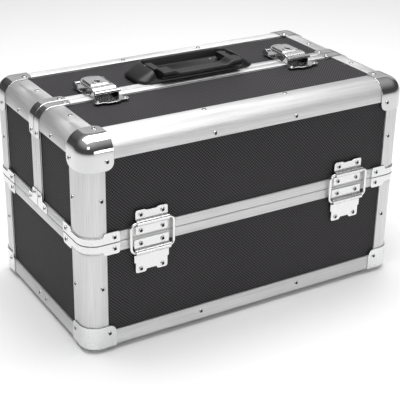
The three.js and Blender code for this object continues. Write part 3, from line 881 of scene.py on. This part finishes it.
def lever_height(y, a):
    along = ease(y, 0.4, 2.8) * (1 - ease(y, 24, 27))
    raised = (1 - ease(abs(a), 0.72, 0.79)) * along
    groove = ease(abs(a), 0.76, 0.82) * (1 - ease(abs(a), 0.85, 0.91)) * along
    turned_down = 2.4 * ease(abs(a), 0.93, 1.02) + 1.4 * ease(-y, 6.5, 8.3)
    return TOP + 9.0 + 1.2 * raised - 0.8 * groove - turned_down

for hand, s in HANDS.items():
    body, lid = f"lever_{hand}", "lid_rear"
    put = lambda x, y, z: (x - s * LATCH_X, y, z)
    pressed(f"lever_sheet_{hand}", lever_rows(), ACROSS, lever_height, NICKEL, body, 0.9, place=put,
            replaces=[f"latch_lever_{hand}"])
    p, f = turned([(1.5, -14.5), (1.5, 14.5)], put(0, 27, TOP + 5), (1, 0, 0), 16)
    build(f"lever_pin_{hand}", p, f, LATCH_CHROME, body, bevel=0.3)
    key = arc(0, 9, 2.8, -60, 240, 16) + [(-1.4, 4.0), (1.4, 4.0)]
    disc = arc(0, 8, 5.6, 0, 360, 40)[:-1]
    stamped(f"lock_face_{hand}", [disc, key], 0.9, lambda x, y, t: put(x, y, TOP + 9.8 + t), NICKEL, body,
            bevel=0.2)
    # A black disc under the keyway is painted shade: it stands in for the shade deep inside the keyhole.
    stamped(f"keyway_painted_shade_{hand}", [arc(0, 8, 5.0, 0, 360, 30)[:-1]], 0.4,
            lambda x, y, t: put(x, y, TOP + 9.82 + t), PAINTED_SHADE_AND_GRIME, body)
    plate = round_rect(-LATCH_W, LATCH_W, 0.5, 34.5, 7)
    on_lid = lambda x, y, t: put(x, y, TOP + t)
    stamped(f"latch_back_plate_{hand}", [plate], 1.3, on_lid, LATCH_CHROME, lid, bevel=0.35,
            replaces=[f"latch_plate_{hand}"])
    for side in (-1, 1):
        cheek = [(22, 1.0), (32, 1.0), (31.2, 4.6), (29.4, 6.6), (27, 7.1), (24.6, 6.6), (22.8, 4.6)]
        stamped(f"latch_cheek_{hand}_{'a' if side < 0 else 'b'}", [cheek], 1.4,
                lambda y, z, t: put(side * (LATCH_W - 1.5 + t), y, TOP + z), LATCH_CHROME, lid, bevel=0.3)
    front = [(-14, -0.5), (14, -0.5), (14, -17), (18, -18.5), (18, -24), (16.5, -25.5), (9, -25.5), (6, -28),
             (-6, -28), (-9, -25.5), (-16.5, -25.5), (-18, -24), (-18, -18.5), (-14, -17)]
    stamped(f"catch_plate_{hand}", [front], 1.3, on_lid, LATCH_CHROME, "lid_front", bevel=0.35,
            replaces=[f"latch_catch_{hand}"])
    hood = [(-2.6, 1.2), (-8.0, 7.3), (-9.2, 8.1), (-14.2, 8.1), (-15.2, 7.4), (-15.2, 5.6), (-14.2, 5.6),
            (-13.9, 6.9), (-9.5, 6.9), (-4.6, 1.2)]
    drawn(f"catch_hood_{hand}", [[put(x, y, TOP + z) for y, z in hood] for x in (-13.4, 13.4)], LATCH_CHROME,
          "lid_front", bevel=0.3)
    for side in (-1, 1):
        gusset = [(-3.6, 1.1), (-8.4, 6.6), (-11.8, 6.6), (-11.8, 1.1)]
        stamped(f"catch_gusset_{hand}_{'a' if side < 0 else 'b'}", [gusset], 1.0,
                lambda y, z, t: put(side * (12.3 + t), y, TOP + z), LATCH_CHROME, "lid_front", bevel=0.2)
    spots = [(put(x, -21.5, TOP + 1.3), (0, 0, 1)) for x in (-14.5, 14.5)]
    rivets(f"catch_rivets_{hand}", spots, LATCH_CHROME, "lid_front", 0.8)
print("latches done")

# %% [markdown]
# ## Carrying handle
# The handle is a black moulding: a shallow well with sloping ends, and a thick grip bar that lies along its
# front and folds up on two legs. Both are lofted. The well is a stack of rounded outlines that rise, turn
# in over the rim and drop to the floor; the bar is a rounded section whose height dips in the middle.

# %% The well
def loop_at(x, y0, y1, r, z, steps=8):
    return [(px, py, TOP + z) for px, py in round_rect(-x, x, y0, y1, r, steps)]

well = [loop_at(67, 2, 46, 13, 0.05), loop_at(68, 1, 47, 14, 0.6), loop_at(68, 1, 47, 14, 2.0),
        loop_at(66.5, 1.5, 46.4, 14, 3.4), loop_at(62, 2.0, 45.4, 12.5, 6.2),
        loop_at(56.5, 2.4, 44.4, 10.5, 9.4), loop_at(52.6, 2.8, 43.6, 8.5, 11.3),
        loop_at(50.6, 3.4, 42.8, 7, 12), loop_at(49.2, 4.2, 42, 6, 11.7), loop_at(48.4, 5, 41.2, 5, 10.6),
        loop_at(47.8, 6, 40.6, 4.2, 3.8), loop_at(47.2, 7, 40, 4, 3.2)]

def front_cut(p):
    """The front wall stays low so that the bar can lie over it."""
    x, y, z = p
    if y < 12 and abs(x) < 50.6:
        low = 3.2 + (z - TOP - 3.2) * max(0.0, (abs(x) - 47.8) / 2.8)
        return (x, y, min(z, TOP + max(0.05, low)))
    return p

drawn("handle_well_piece", [[front_cut(p) for p in ring] for ring in well], HANDLE_BLACK, "lid_rear",
      replaces=["handle_well"], smooth=60)

# %% [markdown]
# ## The grip
# The bar is a bulky moulding, full height at both ends and scooped out between them behind a low front edge.
# A loft lets the section change along the bar, which an extrusion could not do.

# %% The grip
GRIP = low_high("handle_grip")[1].x - 3.6        # half length of the bar, without its pins

def grip_section(block, front=-7.0):
    """Full height at the end blocks (1), and scooped out behind a low front edge between them (0)."""
    top, dip = 10.4 + 3.1 * block, 2.2 * (1 - block)
    return [(-4.0, 5.3), (front + 0.5, 7.6), (front, 8.4), (front, top - 1.6), (front + 0.5, top - 0.4),
            (front + 1.6, top), (0, top - dip * 0.75), (5, top - dip), (9, top - dip),
            (11.4, top - 1.4 - dip * 0.5), (12, top - 3.0 - dip * 0.3), (12, 6.4), (11.2, 5.0), (9, 4.0),
            (-2.6, 4.0)]

stations = [0.2, 0.8, 1.6, 4, 8, 11.5, 12.6, 13.6, 14.8, 16.2, 18, 20, 24, 30, 38, GRIP]
bar = []
for x in [-GRIP + v for v in stations[:-1]] + [0.0] + [GRIP - v for v in reversed(stations[:-1])]:
    inward = GRIP - abs(x)
    shrink = 1 - 0.1 * (1 - ease(inward, 0.2, 1.6))
    section = grip_section(1 - ease(inward, 11.5, 20))
    bar.append([(x, 2.5 + (y - 2.5) * shrink, TOP + 8.5 + (z - 8.5) * shrink) for y, z in section])
drawn("grip_bar", bar, HANDLE_BLACK, "grip", replaces=["handle_grip"], smooth=55)
for side in (-1, 1):
    leg = [(9, 4.3), (34.5, 4.3), (36.2, 6), (36.2, 9), (34.5, 10.7), (9, 10.7)]
    stamped(f"grip_leg_{'a' if side < 0 else 'b'}", [leg], 8.0,
            lambda y, z, t: (side * (GRIP - 8.2 + t), y, TOP + z), HANDLE_BLACK, "grip", bevel=0.8)
    p, f = turned([(2.3, GRIP - 0.4), (2.3, GRIP + 3.5)], (0, 33, TOP + 7.5), (side, 0, 0), 20)
    build(f"grip_pin_{'a' if side < 0 else 'b'}", p, f, ARM_STEEL, "grip")
rivets("handle_screws", [((x, 36, TOP + 3.4), (0, 0, 1)) for x in (-33, 33)], ARM_STEEL, "lid_rear", 0.6)
print("handle done")

# %% [markdown]
# ## Lining
# Inside, the boards are lined with black felted sheet that turns the corners in one soft bend. It is a thin
# shell pulled on to the same rounded corners, set in from the boards.

# %% Lining
def inner_lines(half, r, whole=True):
    bend = [half - r + r * math.tan(math.radians(45 * (1 - i / 4))) for i in range(5)]
    return [-v for v in bend] + ([v for v in reversed(bend)] if whole else [])

def lining(name, inset, body, half, z_low, z_high, lid):
    r = EDGE_R - inset
    hx, hy = X - inset, Y - inset
    def pull(p):
        core = Vector((min(max(p[0], -X + EDGE_R), X - EDGE_R), min(max(p[1], -Y + EDGE_R), Y - EDGE_R),
                       min(p[2], TOP - EDGE_R) if lid else p[2]))
        return core + (Vector(p) - core).normalized() * r
    xs = inner_lines(hx, r)
    ys = inner_lines(hy, r, not lid) + ([-0.6] if lid else [])
    zs = [z_low, z_high] if not lid else [z_low] + [TOP - inset - r + r * math.tan(math.radians(45 * i / 4))
                                                    for i in range(5)]
    sheets = [(xs, zs, lambda a, b: (a, -hy, b)), (ys, zs, lambda a, b: (-hx, a, b)),
              (ys, zs, lambda a, b: (hx, a, b))]
    sheets.append((xs, ys, (lambda a, b: (a, b, TOP - inset))) if lid else (xs, zs, lambda a, b: (a, hy, b)))
    points, faces = [], []
    for us, vs, place in sheets:
        faces += grid_faces(len(points), len(us), len(vs))
        points += [tuple(pull(place(a, b))) for a in us for b in vs]
    piece = build(name, mirror(points, 1, half), faces, LINING, body, smooth=60)
    sheet = piece.modifiers.new("sheet", "SOLIDIFY")
    sheet.thickness, sheet.offset = 0.6 * MM, 0
    return piece

INSET = SKIN + BOARD + 0.4
for half, d in HALVES.items():
    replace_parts(lining(f"lining_{half}_lid", INSET, f"lid_{half}", d, PARTING + 2.4, 0, True),
                f"lid_{half}_shell")
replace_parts(lining("lining_base", INSET, "base", 1, BOTTOM + 6, PARTING - 2.4, False), "base_walls")
slab("floor_mat", (-X + 8, -Y + 8, BOTTOM + 6.05), (X - 8, Y - 8, BOTTOM + 7.2), LINING, "base")

# %% [markdown]
# ## Trays and arms
# The trays are moulded tubs with a turned-out rim and loose dividers, hung on flat steel arms. A tub is a
# stack of outlines that go up the outside, over the rim and down the inside.

# %% Trays
TUB_X = 168.0                                   # half length of a tray
for half, d in HALVES.items():
    for level in ("lower", "upper"):
        node = f"tray_{level}_{half}"
        lo, hi = low_high(node)
        y0, y1 = sorted((lo.y * d, hi.y * d))
        z0, z1 = lo.z, hi.z
        def tub(inset, z, r):
            loop = round_rect(-TUB_X + inset, TUB_X - inset, y0 + inset, y1 - inset, r)
            return mirror([(x, y, z) for x, y in loop], 1, d)
        outside = [tub(1.4, z0, 3), tub(0.6, z0 + 0.5, 4), tub(0.4, z0 + 2, 4), tub(0.3, z1 - 3, 4)]
        rim = [tub(0.0, z1 - 2.6, 4), tub(0.0, z1 - 0.4, 4), tub(0.5, z1, 4), tub(1.6, z1, 3)]
        rings = outside + rim + [tub(2.1, z1 - 0.5, 3), tub(2.4, z0 + 3, 3), tub(3.4, z0 + 2, 2)]
        drawn(f"tub_{level}_{half}", rings, TRAY_BLACK, node, replaces=[node], smooth=50)
        slab(f"tub_mat_{level}_{half}", (4 - TUB_X, min(d * (y0 + 4), d * (y1 - 4)), z0 + 2.02),
             (TUB_X - 4, max(d * (y0 + 4), d * (y1 - 4)), z0 + 2.8), LINING, node, bevel=0.0)
        for k, x in enumerate((-56, 56)):
            slab(f"divider_{level}_{half}_{k}", (x - 0.9, min(d * (y0 + 2.2), d * (y1 - 2.2)), z0 + 2.5),
                 (x + 0.9, max(d * (y0 + 2.2), d * (y1 - 2.2)), z1 - 5), TRAY_BLACK, node, bevel=0.4)

# %% [markdown]
# ## Arms
# Each tray hangs on flat steel strips with round ends that carry it up as the lid swings out. A strip is a
# stamped outline of two half circles, laid along the line between its pins.

# %% Arms
ARM_STEP = Vector((0, 56, 64))                  # from an arm's lower pin to its upper one
ARM_Z = 113.0                                   # height of the lower pins
OUTER_Y, INNER_Y = -84.5, -65.0                 # depth of the lower pins of the outer and inner arms
for name, s, d, half in CORNERS:
    for kind, y in (("outer", OUTER_Y), ("inner", INNER_Y)):
        body = f"arms_{kind}_{half}"
        node = f"arm_{kind}_{name}"
        length, tilt = ARM_STEP.length, math.atan2(ARM_STEP.z, ARM_STEP.y)
        outline = arc(length, 0, 5.5, -90, 90, 12) + arc(0, 0, 5.5, 90, 270, 12)
        place = lambda u, v, t: mirror([(-TUB_X - 0.6 - t, y + u * math.cos(tilt) - v * math.sin(tilt),
                                         ARM_Z + u * math.sin(tilt) + v * math.cos(tilt))], s, d)[0]
        stamped(f"strip_{kind}_{name}", [outline], 1.5, place, ARM_STEEL, body, bevel=0.3, replaces=[node])
        spots = [(place(f * length, 0, 1.5), (-s, 0, 0)) for f in (0.5, 1.0)]
        rivets(f"strip_rivets_{kind}_{name}", spots, ARM_STEEL, body, 1.1)
        p, f = turned([(2, 0), (2, 9)], place(0, 0, 0), (-s, 0, 0), 16)
        build(f"strip_pin_{kind}_{name}", p, f, ARM_STEEL, body)

# %% [markdown]
# ## Lid pins
# On the real case a stepped pin on each lid wall carries one end of the upper tray. Here it stands in a
# larger hole, because the loop of links is left open at this pin. It is a turned profile, like a rivet.

# %% Lid pins that carry the upper trays
LID_PIN = (-X + 5.5, -54.8, 169.9)              # where the front left pin leaves the lid wall
for name, s, d, half in CORNERS:
    at = mirror([LID_PIN], s, d)[0]
    p, f = turned([(3.4, 0.0), (3.4, 1.6), (2, 1.8), (2, 10)], at, (s, 0, 0), 16)
    build(f"tray_pin_{name}", p, f, ARM_STEEL, f"lid_{half}", smooth=50)

# %% [markdown]
# ## The sheet under the case
# A wide pale sheet stands in for the studio floor. It isn't part of the case.

# %% Floor
REACH = 9000.0
sheet_corners = [(x * REACH, y * REACH, -0.05) for x, y in ((-1, -1), (1, -1), (1, 1), (-1, 1))]
floor = build("pale_floor", sheet_corners, [(0, 1, 2, 3)], PALE, None)
print("floor", 2 * REACH * MM, "m wide")
